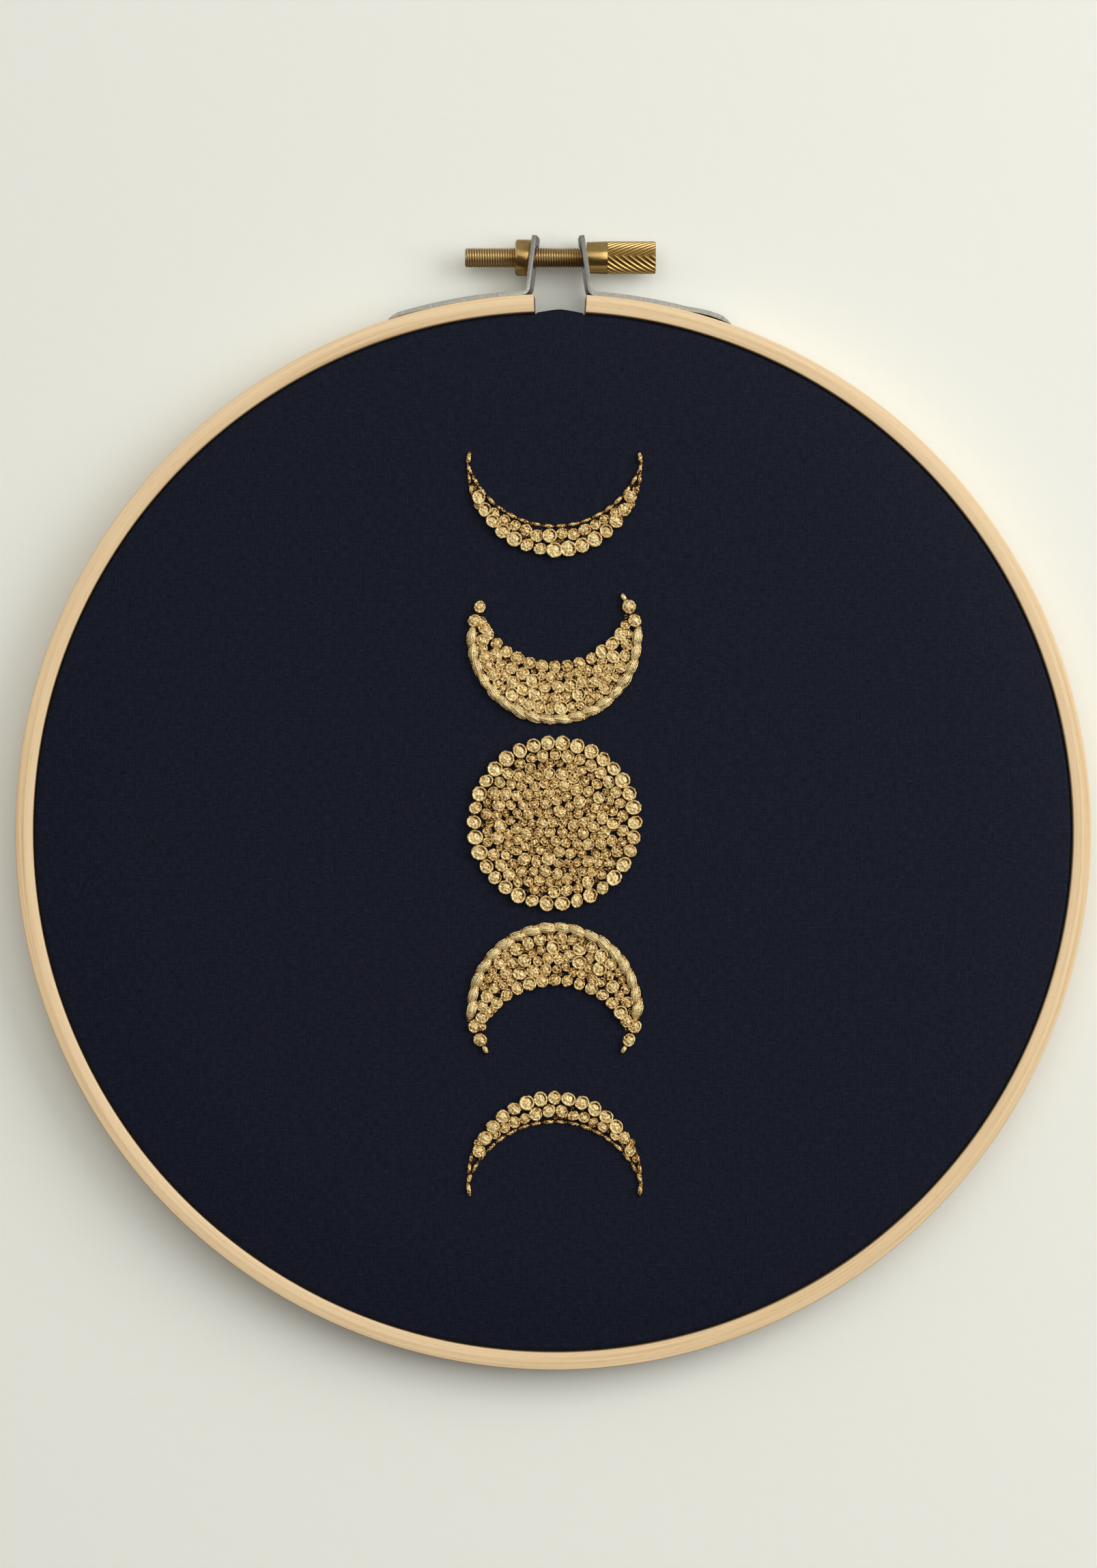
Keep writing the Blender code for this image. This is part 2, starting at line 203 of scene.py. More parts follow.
def gold_thread():
    """Metallic embroidery thread: foil wound on a core. Painted glints and painted shade: its tops are drawn
    pale, its flanks and feet brown.

    The glints are drawn at 0.25 mm, coarser than the foil's, so that they show in the picture.
    """
    material, shader, add, wear = new_material("gold metallic thread")
    shader.inputs["Metallic"].default_value = 0.4
    glint, blotch, high = 0.25 * MM, 0.5 * MM, 1.5 * MM
    place = add("ShaderNodeTexCoord").outputs["Object"]
    # Painted glints, mixed with the foil's own mottling: fine noise that the ramp below draws cream and
    # brown.
    glints_and_mottle = add("ShaderNodeTexNoise", {"Vector": scaled(add, place, (glint,) * 3)},
                 Scale=1.0, Detail=2.0, Roughness=0.6)
    patches = add("ShaderNodeTexNoise", {"Vector": scaled(add, place, (blotch,) * 3)}, Scale=1.0, Detail=1.0)
    quiet = add("ShaderNodeMapRange", {"Value": patches.outputs["Fac"]}, _3=0.2, _4=0.8)
    both = add("ShaderNodeMath", {0: glints_and_mottle.outputs["Fac"], 1: quiet.outputs["Result"]}, operation="ADD")
    axes = add("ShaderNodeSeparateXYZ", {0: place})
    # Painted shade and light: the thread is drawn darker near the cloth and lighter at its tops.
    height = add("ShaderNodeMapRange", {"Value": axes.outputs["Y"]}, _1=CLOTH_FRONT, _2=CLOTH_FRONT - high,
                 _3=-0.28, _4=0.12)
    # Painted shade: faces turned away from the front, the knots' flanks, are drawn darker.
    facing = add("ShaderNodeSeparateXYZ", {0: add("ShaderNodeTexCoord").outputs["Normal"]})
    flank_shade = add("ShaderNodeMapRange", {"Value": facing.outputs["Y"]}, _1=-0.5, _2=0.0, _3=0.0, _4=-0.36)
    depth_and_flank_shade = add("ShaderNodeMath", {0: height.outputs["Result"], 1: flank_shade.outputs["Result"]}, operation="ADD")
    tone = add("ShaderNodeMath", {0: both.outputs[0], 1: depth_and_flank_shade.outputs[0]}, operation="ADD")
    half = add("ShaderNodeMath", {0: tone.outputs[0]}, operation="MULTIPLY", _1=0.5)
    # The ramp goes from painted shade, dark brown, to painted glints, pale cream.
    colour = ramp_of(add, half.outputs[0], [
        (0.36, "#241206"), (0.415, "#7C4F20"), (0.455, "#C89448"), (0.495, "#F6CF7E"), (0.55, "#FFEDB6"),
    ])
    rough = add("ShaderNodeMapRange", {"Value": glints_and_mottle.outputs["Fac"]}, _1=0.35, _2=0.65, _3=0.5, _4=0.22)
    relief = add("ShaderNodeBump", {"Height": both.outputs[0]}, Strength=0.8, Distance=0.12 * MM)
    wear(Base_Color=colour, Roughness=rough.outputs["Result"], Normal=relief.outputs["Normal"])
    return material


def turned_brass(name, shades, depth=None):
    """Brass bar, turned: warm and clean, its highlight drawn out along the axis by the lathe's rings.

    Depth gives the radii between which a cut surface goes from painted shade in its grooves to a painted
    highlight on its ridges.
    """
    material, shader, add, wear = new_material(name)
    shader.inputs["Metallic"].default_value = 1.0
    shader.inputs["Anisotropic"].default_value = 0.0 if depth else 0.8
    shader.inputs["Anisotropic Rotation"].default_value = 0.25
    finest, coarsest = (0.33, 0.4) if depth else (0.24, 0.3)
    place = add("ShaderNodeTexCoord").outputs["Object"]
    rings = add("ShaderNodeTexNoise", {"Vector": scaled(add, place, (0.09 * MM, 40 * MM, 40 * MM))},
                Scale=1.0, Detail=2.0)
    stain = add("ShaderNodeTexNoise", {"Vector": scaled(add, place, (1.8 * MM,) * 3)}, Scale=1.0, Detail=2.0)
    tone = stain.outputs["Fac"]
    # Painted shade and highlight: a cut surface is drawn darker in its grooves and lighter on its ridges.
    if depth:
        flat = add("ShaderNodeVectorMath", {0: place}, operation="MULTIPLY")
        flat.inputs[1].default_value = (0, 1, 1)
        off_axis = add("ShaderNodeVectorMath", {0: flat.outputs["Vector"]}, operation="LENGTH")
        tone = add("ShaderNodeMapRange", {"Value": off_axis.outputs["Value"]}, _1=depth[0],
                   _2=depth[1]).outputs["Result"]
    colour = ramp_of(add, tone, shades)
    rough = add("ShaderNodeMapRange", {"Value": stain.outputs["Fac"]}, _1=0.3, _2=0.7,
                _3=finest, _4=coarsest)
    relief = add("ShaderNodeBump", {"Height": rings.outputs["Fac"]}, Strength=0.2, Distance=0.02 * MM)
    round_axis = add("ShaderNodeTangent", direction_type="RADIAL", axis="X")
    wear(Base_Color=colour, Roughness=rough.outputs["Result"], Normal=relief.outputs["Normal"],
         Tangent=round_axis.outputs["Tangent"])
    return material


def zinc_steel():
    """Mild steel strip, zinc plated and pressed: satin grey, scuffed, with painted shade inside the ears and
    under the bends.
    """
    material, shader, add, wear = new_material("zinc plated steel")
    shader.inputs["Metallic"].default_value = 0.4
    place = add("ShaderNodeTexCoord").outputs["Object"]
    lines = add("ShaderNodeTexNoise", {"Vector": scaled(add, place, (6 * MM, 0.12 * MM, 6 * MM))},
                Scale=1.0, Detail=3.0)
    cloud = add("ShaderNodeTexNoise", {"Vector": scaled(add, place, (0.5 * MM,) * 3)},
                Scale=1.0, Detail=3.0, Roughness=0.65)
    axes = add("ShaderNodeSeparateXYZ", {0: place})
    up_the_ear = add("ShaderNodeMapRange", {"Value": axes.outputs["Z"]}, _1=-5 * MM, _2=-2 * MM, _4=-0.22)
    mottle = add("ShaderNodeMath", {0: cloud.outputs["Fac"]}, operation="MULTIPLY", _1=0.5)
    tone = add("ShaderNodeMath", {0: mottle.outputs[0], 1: up_the_ear.outputs["Result"]}, operation="ADD")
    clean = ramp_of(add, tone.outputs[0], [(0.0, "#8A877E"), (0.2, "#ACA99F"), (0.36, "#CBC8BE")])
    # Painted shade: faces inside the ears and under the bends are drawn dark, where shade falls between the
    # ears and under the straps.
    facing = add("ShaderNodeSeparateXYZ", {0: add("ShaderNodeTexCoord").outputs["Normal"]})
    inward = add("ShaderNodeMath", {0: axes.outputs["X"], 1: facing.outputs["X"]}, operation="MULTIPLY")
    inside = add("ShaderNodeMapRange", {"Value": inward.outputs[0]}, _1=-2 * MM, _2=-4 * MM, _4=0.62)
    under = add("ShaderNodeMapRange", {"Value": facing.outputs["Z"]}, _1=-0.25, _2=-0.6, _4=0.85)
    painted_shade_mask = add("ShaderNodeMath", {0: inside.outputs["Result"], 1: under.outputs["Result"]},
               operation="MAXIMUM")
    shaded_zinc = add("ShaderNodeMix", {"Factor": painted_shade_mask.outputs[0], "A": clean}, data_type="RGBA",
                 B=linear("#2A2419"))
    rough = add("ShaderNodeMapRange", {"Value": cloud.outputs["Fac"]}, _1=0.3, _2=0.7, _3=0.5, _4=0.38)
    relief = add("ShaderNodeBump", {"Height": lines.outputs["Fac"]}, Strength=0.3, Distance=0.02 * MM)
    wear(Base_Color=shaded_zinc.outputs["Result"], Roughness=rough.outputs["Result"],
         Normal=relief.outputs["Normal"])
    return material


def painted_plaster():
    """Wall paint rolled on plaster: off-white, matt, with the low orange-peel of a roller."""
    material, shader, add, wear = new_material("painted plaster")
    shader.inputs["Roughness"].default_value = 0.85
    shader.inputs["Specular IOR Level"].default_value = 0.2
    shader.inputs["Base Color"].default_value = linear("#F4F5EC")
    place = add("ShaderNodeTexCoord").outputs["Object"]
    peel = add("ShaderNodeTexNoise", {"Vector": scaled(add, place, (3.2 * MM,) * 3)}, Scale=1.0, Detail=3.0)
    relief = add("ShaderNodeBump", {"Height": peel.outputs["Fac"]}, Strength=0.25, Distance=0.25 * MM)
    wear(Normal=relief.outputs["Normal"])
    # Seen from behind, the wall isn't there, so that the back of the piece can be looked at
    tree = material.node_tree
    clear = add("ShaderNodeBsdfTransparent")
    behind = add("ShaderNodeNewGeometry")
    choice = add("ShaderNodeMixShader", {0: behind.outputs["Backfacing"], 1: shader.outputs[0],
                                         2: clear.outputs[0]})
    tree.links.new(choice.outputs[0], tree.nodes["Material Output"].inputs["Surface"])
    return material


# Meshes


def patch(points, along, around, closed_rows=False, closed_columns=True, caps=True):
    """One grid of quads from points (rows, columns, 3), with the map's value of each row and column.

    A closed direction takes one value more than it has points. Open tubes get end caps.
    """
    rows, columns = points.shape[:2]
    i, j = np.meshgrid(
        np.arange(rows if closed_rows else rows - 1),
        np.arange(columns if closed_columns else columns - 1),
        indexing="ij",
    )
    i, j = i.ravel(), j.ravel()
    corners = ((0, 0), (0, 1), (1, 1), (1, 0))
    faces = np.stack([((i + a) % rows) * columns + (j + b) % columns for a, b in corners], 1)
    places = np.stack([np.stack([along[i + a], around[j + b]], 1) for a, b in corners], 1)
    faces = faces.tolist()
    places = [places.reshape(-1, 2)]
    if caps and closed_columns and not closed_rows:
        for row in (0, rows - 1):
            faces.append([row * columns + k for k in range(columns)])
            places.append(np.stack([np.full(columns, along[row]), around[:columns]], 1))
    return points.reshape(-1, 3), faces, np.concatenate(places)


def piece_of(name, patches, material, node, body, place, layer="grain", crease=40):
    """One object from patches, standing for a node and riding on its body."""
    points, faces, places = [], [], []
    count = 0
    for patch_points, patch_faces, patch_places in patches:
        points.append(patch_points)
        faces.extend([[k + count for k in face] for face in patch_faces])
        places.append(patch_places)
        count += len(patch_points)
    mesh = bpy.data.meshes.new(name)
    mesh.from_pydata(np.concatenate(points).tolist(), [], faces)
    uv = mesh.uv_layers.new(name=layer)
    uv.data.foreach_set("uv", np.concatenate(places).astype(np.float32).ravel())
    bm = bmesh.new()
    bm.from_mesh(mesh)
    bmesh.ops.remove_doubles(bm, verts=bm.verts, dist=0.0001 * MM)
    bmesh.ops.recalc_face_normals(bm, faces=bm.faces)
    bm.to_mesh(mesh)
    bm.free()
    mesh.shade_smooth()
    mesh.set_sharp_from_angle(angle=math.radians(crease))
    mesh.materials.append(material)
    item = bpy.data.objects.new(name, mesh)
    item.location = place
    bpy.context.scene.collection.objects.link(item)
    dress(item, node, body)
    return item


def dress(item, node, body):
    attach(item, body)
    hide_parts(node)


def around_hoop(profile, angles, bulge=None):
    """Points of a profile of (radius, y) swept round the hoop's centre."""
    a = angles[:, None]
    r = profile[None, :, 0] + (0 * a if bulge is None else bulge[:, None])
    y = np.broadcast_to(profile[None, :, 1], r.shape)
    return np.stack([r * np.sin(a), y, r * np.cos(a)], 2)


def lengths(profile, closed=True):
    """Distance along a profile at each of its points, and back at the first if it is closed."""
    ends = np.vstack([profile, profile[:1]]) if closed else profile
    return np.concatenate([[0], np.cumsum(np.linalg.norm(np.diff(ends, axis=0), axis=1))])


def rounded_bar(low_r, high_r, front, back, edge, crown=0.0, steps=5):
    """Section of a hoop: rounded edges, and a low crown along the middle of its front face."""
    ridge = low_r + 0.46 * (high_r - low_r)
    section = []
    for r, y, start in (
        (high_r - edge, back - edge, 0.0),
        (low_r + edge, back - edge, 0.25),
        (low_r + edge, front + edge + crown, 0.5),
        (high_r - edge, front + edge + crown, 0.75),
    ):
        for k in range(steps + 1):
            turn = TURN * (start + 0.25 * k / steps)
            section.append((r + edge * math.cos(turn), y + edge * math.sin(turn)))
        if start == 0.5 and crown:
            section += [(ridge - 0.12 * MM, front + 0.02 * MM), (ridge + 0.12 * MM, front + 0.02 * MM)]
    return np.array(section)


def hoops(wood):
    """Both rings. The outer one is split and slightly crowned, as a scraper leaves it."""
    angles = np.linspace(SPLIT_ANGLE, TURN - SPLIT_ANGLE, 361)
    wobble = 0.05 * MM * np.sin(angles * 5 + 0.8) + 0.03 * MM * np.sin(angles * 13)
    section = rounded_bar(OUTER_INSIDE, OUTER_R, ring_low.y, ring_high.y, 0.3 * MM, crown=0.26 * MM)
    points = around_hoop(section, angles + SPLIT_TURN, wobble * 0.5)
    slant = 0.28 * MM * (section[:, 1] - ring_low.y) / (ring_high.y - ring_low.y)
    points[0, :, 0] -= slant
    points[-1, :, 0] += slant
    outer = patch(points, angles * OUTER_R, lengths(section))
    piece_of("outer_ring", [outer], wood, "outer_hoop", "hoop", HOOP)
    angles = np.linspace(0, TURN, 241)
    section = rounded_bar(INNER_OUTSIDE - RING_THICK, INNER_OUTSIDE, inner_low.y, inner_high.y, 0.4 * MM)
    points = around_hoop(section, angles[:-1])
    inner = patch(points, angles * INNER_OUTSIDE, lengths(section), closed_rows=True)
    piece_of("inner_ring", [inner], wood, "inner_hoop", "hoop", HOOP)


def ground(cotton):
    """The cloth: front, a rim rippled by its threads, a skirt between the hoops, and its inside."""
    thread, bulge_base, bulge_height = 0.45 * MM, 0.25 * MM, 0.95 * MM
    count = 4 * round(TURN * CLOTH_R / thread)
    angles = np.linspace(0, TURN, count + 1)
    turn = np.minimum(angles, TURN - angles)[:-1]
    reach = SPLIT_ANGLE * 0.92
    slope = 1 - np.sqrt((turn / reach) ** 2 + 0.02) / math.sqrt(1.02)
    swell = np.where(turn < reach, bulge_base + (bulge_height - bulge_base) * slope, 0.0)
    rng = random.Random(3)
    strength = np.repeat([rng.uniform(0.3, 1.3) for _ in range(count // 4)], 4)
    ripple = 0.06 * MM * strength * np.cos(np.arange(count) * TURN / 4)
    edge = 0.7 * MM
    back = cloth_high.y
    rim = [(CLOTH_R - edge + edge * math.sin(t), CLOTH_FRONT + edge - edge * math.cos(t))
           for t in np.linspace(0, 0.25 * TURN, 5)]
    inside = CLOTH_R - CLOTH_THICK
    section = np.array(
        [(r, CLOTH_FRONT) for r in (0.35 * CLOTH_R, 0.8 * CLOTH_R)]
        + rim
        + [(CLOTH_R, back), (inside, back), (inside, CLOTH_FRONT + CLOTH_THICK)]
        + [(0.8 * CLOTH_R, CLOTH_FRONT + CLOTH_THICK), (0.35 * CLOTH_R, CLOTH_FRONT + CLOTH_THICK)]
    )
    near_rim = section[:, 0] > 0.9 * CLOTH_R
    around = angles[:-1] + SPLIT_TURN
    sheet = around_hoop(section, around)
    spoke = np.stack([np.sin(around), np.zeros(count), np.cos(around)], 1)
    sheet += spoke[:, None, :] * ((swell + ripple - 0.04 * MM)[:, None] * near_rim)[:, :, None]
    points, faces, places = patch(sheet, angles * CLOTH_R, lengths(section, closed=False),
                                  closed_rows=True, closed_columns=False)
    for column, y in ((0, CLOTH_FRONT), (len(section) - 1, CLOTH_FRONT + CLOTH_THICK)):
        middle = len(points)
        points = np.vstack([points, [0, y, 0]])
        ring = np.arange(count) * len(section) + column
        faces += [[a, b, middle] for a, b in zip(ring.tolist(), np.roll(ring, -1).tolist())]
        places = np.vstack([places, np.zeros((3 * count, 2))])
    cloth = piece_of("ground_cloth", [(points, faces, places)], cotton, "cloth", "hoop",
                     HOOP, crease=60)


def round_tip(bm):
    """Rounds the outer side of a strap's end down to the wood."""
    length, inner_face, between = 1.9 * MM, 0.3 * MM, 0.55 * MM

    def turn_of(vert):
        return math.atan2(vert.co.x - HOOP.x, vert.co.z - HOOP.z)

    tip = max((turn_of(vert) for vert in bm.verts), key=abs)
    for share in (0.03, 0.1, 0.22, 0.38, 0.6, 0.8, 1.0):
        turn = tip - math.copysign(share * length / OUTER_R, tip)
        whole = list(bm.verts) + list(bm.edges) + list(bm.faces)
        bmesh.ops.bisect_plane(bm, geom=whole, dist=0.001 * MM, plane_co=HOOP,
                               plane_no=(math.cos(turn), 0, -math.sin(turn)))
    for vert in bm.verts:
        share = abs(tip - turn_of(vert)) * OUTER_R / length
        spoke = Vector((vert.co.x, 0, vert.co.z)) - HOOP
        over = spoke.length - OUTER_R
        if share < 1 and over > between + 0.2 * share * length:
            keep = max(math.sqrt(1 - (1 - share) ** 2), 0.12)
            vert.co -= spoke.normalized() * (over - inner_face) * (1 - keep)


def seat_strap(bm, shift):
    """Draws a strap in onto the wood, and moves its ear along X by a length and a share of the depth."""
    seat, reach, fade = 0.27 * MM, 4 * MM, 2.4 * MM
    ear_foot, ear_bend = 6.4 * MM, 3 * MM
    for vert in bm.verts:
        spoke = Vector((vert.co.x, 0, vert.co.z)) - HOOP
        share = min(max((OUTER_R + reach - spoke.length) / fade, 0), 1)
        ear = min(max((vert.co.z + ear_foot) / ear_bend, 0), 1)
        vert.co -= spoke.normalized() * seat * share
        vert.co.x += ear * (shift[0] + shift[1] * vert.co.y)


def meet_ear(bm):
    """Brings the nut's right-hand face up against its ear."""
    reach, bore = 0.27 * MM, 1 * MM
    start = min(vert.co.x for vert in bm.verts)
    for vert in bm.verts:
        vert.co.x += reach * (vert.co.x - start > bore)


def eased(node, name, material, edge, reshape):
    """A node's own shape, reshaped and with its sharp edges eased."""
    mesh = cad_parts[node].data.copy()
    mesh.name = name
    mesh.materials.clear()
    bm = bmesh.new()
    bm.from_mesh(mesh)
    bmesh.ops.remove_doubles(bm, verts=bm.verts, dist=0.001 * MM)
    bmesh.ops.dissolve_limit(bm, angle_limit=math.radians(0.5), verts=bm.verts, edges=bm.edges)
    bmesh.ops.recalc_face_normals(bm, faces=bm.faces)
    reshape(bm)
    bm.to_mesh(mesh)
    bm.free()
    mesh.shade_smooth()
    mesh.materials.append(material)
    item = bpy.data.objects.new(name, mesh)
    bpy.context.scene.collection.objects.link(item)
    ease = item.modifiers.new("eased edges", "BEVEL")
    ease.width = edge
    ease.segments = 2
    ease.limit_method = "ANGLE"
    ease.angle_limit = math.radians(38)
    ease.harden_normals = True
    dress(item, node, "hoop")


def brackets(steel):
    """Both straps. The right one's ear is moved a little, and twisted out of square."""
    for side, shift in (("left", (0, 0)), ("right", (0.1 * MM, 0.04))):

        def reshape(bm):
            round_tip(bm)
            seat_strap(bm, shift)

        eased(f"bracket_{side}", f"strap_{side}", steel, 0.06 * MM, reshape)


def thumbscrew(smooth_brass):
    """Threaded shank, smooth collar and a head with raised slanting ridges that meet in chevrons."""
    pitch, crest, root = 0.5 * MM, 1.98 * MM, 1.70 * MM
    collar_start, collar_end, head_end = 5.2 * MM, 9.25 * MM, screw_high.x
    start = screw_low.x
    turns = np.linspace(0, TURN, 49)
    x = np.concatenate([[start], np.arange(start + 0.02 * MM, collar_start, pitch / 10), [collar_start]])
    phase = (x[:, None] / pitch - turns[None, :-1] / TURN) % 1
    tooth = np.clip(1.12 - 2.3 * np.abs(phase - 0.5), 0, 1)
    lead = np.clip((x - start) / (0.25 * MM), 0, 1)[:, None]
    radius = root + (crest - root) * tooth * lead - 0.12 * MM * (1 - lead)
    # Painted shade in the thread's roots and a painted highlight on its crests.
    pale = [(0.0, "#C8AC74"), (0.5, "#D6B982"), (1.0, "#F0E0B8")]
    threaded = turned_brass("threaded brass", pale, depth=(root, crest))
    shank = patch(about_axis(x, radius, turns), x, turns)
    collar = np.array([
        (collar_start, 1.9 * MM), (collar_start, 3.00 * MM), (collar_start + 0.05 * MM, 3.05 * MM),
        (collar_end - 0.05 * MM, 3.20 * MM), (collar_end, 3.17 * MM), (collar_end + 0.02 * MM, 2.90 * MM),
    ])
    turns = np.linspace(0, TURN, 97)
    radius = np.repeat(collar[:, 1:], 96, 1)
    neck = patch(about_axis(collar[:, 0], radius, turns), collar[:, 0], turns)
    # Painted shade in the knurl's grooves and a painted highlight on its ridge tops.
    ridged = [(0.0, "#A27C3C"), (0.45, "#C29C58"), (0.8, "#EBCB8A"), (1.0, "#FBE4AC")]
    ridge_top = 3.17 * MM
    knurled = turned_brass("knurled brass", ridged, depth=(ridge_top - 0.22 * MM, ridge_top))
    head = knurled_head(collar_end, head_end, ridge_top)
    for name, part, brass in (("shank", shank, threaded), ("collar", neck, smooth_brass),
                              ("head", head, knurled)):
        piece_of(f"screw_{name}", [part], brass, "thumbscrew", "screw", SCREW)


def about_axis(x, radius, turns):
    """Points round the screw's axis: a radius for each x and turn."""
    a = turns[None, :-1]
    y = radius * np.cos(a)
    z = radius * np.sin(a)
    return np.stack([np.repeat(x[:, None], y.shape[1], 1), y, z], 2)


def knurled_head(start, end, radius):
    """The head's outer surface: thin slanting ridges that meet in chevrons at the front and back."""
    height, pitch, ridges_over, ridges_under = 0.22 * MM, 1.45 * MM, 13, 9
    turns = np.linspace(0, TURN, 281)
    x = np.linspace(start + 0.02 * MM, end, 150)
    fold = np.abs(turns[None, :-1] - 0.5 * TURN) / (0.5 * TURN)
    ridges = np.where(turns[None, :-1] < 0.5 * TURN, ridges_over, ridges_under)
    main = np.abs((fold * ridges - (x[:, None] - start) / pitch) % 1 - 0.5) * 2
    ridge = np.clip((main - 0.5) / 0.38, 0, 1) ** 0.8
    corner = np.clip((end - x) / (0.22 * MM), 0, 1)[:, None]
    body = radius - height * (1 - ridge) - 0.2 * MM * (1 - np.sqrt(1 - (1 - corner) ** 2))
    body[0] = radius - height
    return patch(about_axis(x, body, turns), x, turns)


# Embroidery


def strand(path, thickness, rng):
    """One length of two-ply thread along a path, thickness given at each point, seen from -Y."""
    ply, sides = 0.55 * MM, 8
    ahead = np.gradient(path, axis=0)
    ahead /= np.linalg.norm(ahead, axis=1)[:, None] + 1e-12
    out = np.array([0.0, -1.0, 0.0])
    side = np.cross(ahead, out)
    side /= np.linalg.norm(side, axis=1)[:, None] + 1e-9
    up = np.cross(side, ahead)
    run = np.concatenate([[0], np.cumsum(np.linalg.norm(np.diff(path, axis=0), axis=1))])
    turns = np.linspace(0, TURN, sides + 1)
    t = turns[None, :-1]
    shift = rng.random() * TURN
    fat = 1 + 0.07 * np.cos(2 * t - run[:, None] * TURN / ply / 2 + shift)
    reach = (thickness[:, None] / 2 * fat)[:, :, None]
    ring = side[:, None, :] * np.cos(t)[:, :, None] + up[:, None, :] * np.sin(t)[:, :, None]
    return patch(path[:, None, :] + ring * reach, run, turns / TURN)


CUP = [
    # distance from the middle, height: both as shares of the knot's radius
    (0.0, 1.0), (0.16, 1.0), (0.3, 0.98), (0.44, 0.94), (0.56, 0.87), (0.65, 0.82), (0.72, 0.86),
    (0.79, 0.95), (0.85, 0.99), (0.91, 0.95), (0.96, 0.82), (1.0, 0.6), (1.0, 0.36), (0.95, 0.14),
    (0.84, -0.06),
]
BALL = [
    (0.0, 1.08), (0.18, 1.06), (0.34, 1.0), (0.48, 0.9), (0.58, 0.8), (0.66, 0.76), (0.74, 0.82),
    (0.83, 0.84), (0.91, 0.74), (0.97, 0.56), (1.0, 0.36), (0.96, 0.14), (0.84, -0.06),
]


def knot(x, z, radius, rng):
    """A knot. Its wraps stand round it as a lip, and the thread's crossings fill it as a lumpy ball.

    The ball leans down and left of the lip, so that a deep furrow is left at the upper right. Large
    knots are cups, with a lip that stands out, and most small ones are balls.
    """
    cup = radius > 1.46 * MM or rng.random() < 0.06
    profile = np.array(CUP if cup else BALL)
    columns = 28 if radius > 1.3 * MM else 22
    turns = np.linspace(0, TURN, columns + 1)
    t = turns[None, :-1]
    share, height = profile[:, :1], profile[:, 1:]
    ball_end, furrow_at, furrow_width, lip_start = 0.66, 0.65, 0.08, 0.7
    furrow_depth, off_centre, coarse = (0.36, 0.105, 1.0) if cup else (0.16, 0.0525, 1.3)
    lean_to = math.radians(45) + rng.uniform(-0.6, 0.6)
    facing = np.cos(t - lean_to)
    furrow = np.exp(-((share - furrow_at) / furrow_width) ** 2)
    height = height - furrow * furrow_depth * np.clip(facing, 0, 1)
    off = off_centre * np.clip(1 - share / ball_end, 0, 1)
    flat, squeeze = rng.random() * TURN, rng.uniform(0.84, 1.0)
    reach = share * (1 - (1 - squeeze) * np.cos(t - flat) ** 2)
    px = radius * (reach * np.cos(t) - off * math.cos(lean_to))
    pz = radius * (reach * np.sin(t) - off * math.sin(lean_to))
    lumps = 0 * px
    for _ in range(5):
        way, wave, start = rng.random() * TURN, rng.uniform(0.45, 0.85) * MM, rng.random() * TURN
        lumps = lumps + np.sin((px * math.cos(way) + pz * math.sin(way)) * TURN / wave + start)
    rough = np.where(share < ball_end, 0.062, 0.042) * MM * coarse
    wraps = round(TURN * radius / (1.2 * MM))
    twist = 0.055 * MM * np.sin(t * wraps + share * 9 + flat)
    jitter = np.array([[rng.uniform(-1, 1) for _ in range(columns)] for _ in profile]) * 0.034 * MM
    jitter[0] = 0
    rise = radius * height * rng.uniform(0.88, 1.06) + lumps * rough + twist * (share > lip_start) + jitter
    tilt_x, tilt_z = rng.uniform(-0.14, 0.14), rng.uniform(-0.14, 0.14)
    rise = rise + (tilt_x * px + tilt_z * pz) * (height > 0.3)
    grow = 1 + (lumps * 0.012 + jitter / radius) * (share > 0.5)
    points = np.stack([x + px * grow, CLOTH_FRONT - rise, z + pz * grow], 2)
    return patch(points, share[:, 0] * radius, turns / TURN, caps=False)


def stitch(start, end, thick, rng, arch=0.5, sag=0.0, steps=9, waver=0.0):
    """One straight stitch on the cloth between two (x, z) points, its ends drawn down into the cloth."""
    start, end = np.array(start), np.array(end)
    share = np.linspace(0, 1, steps + 1)
    hump = np.sin(math.pi * share)
    along = start[None] + (end - start)[None] * share[:, None]
    across = np.array([-(end - start)[1], (end - start)[0]]) / (np.linalg.norm(end - start) + 1e-9)
    along = along + across[None] * (sag * hump)[:, None]
    rise = thick * (arch * (0.35 + 0.65 * hump) - 0.25 * (1 - hump))
    path = np.stack([along[:, 0], CLOTH_FRONT - rise, along[:, 1]], 1)
    if waver:
        path += np.array([[rng.uniform(-waver, waver) for _ in range(3)] for _ in share])
    return strand(path, thick * (0.5 + 0.5 * hump**0.6), rng)


def bundle(start, end, width, rng):
    """A satin bundle: six or seven fine laid strands that swell side by side between two points."""
    count = rng.choice((6, 6, 7))
    slant = rng.uniform(0.08, 0.26) * width
    lift = rng.uniform(0.88, 1.14)
    across = np.array([-(end - start)[1], (end - start)[0]]) / np.linalg.norm(end - start)
    patches = []
    for k in range(count):
        spread = (k - (count - 1) / 2) / ((count - 1) / 2)
        thick = width / count * rng.uniform(1.1, 1.3)
        raised = lift * 0.75 * MM / thick * (1.2 + 1.0 * (1 - spread**2)) * rng.uniform(0.9, 1.1)
        sag = spread * (width - thick) / 2 * rng.uniform(0.9, 1.05)
        ends = start + across * (slant + sag * 0.3), end - across * (slant - sag * 0.3)
        patches.append(stitch(*ends, thick, rng, arch=raised, sag=sag * 0.7, waver=0.045 * MM))
    return patches


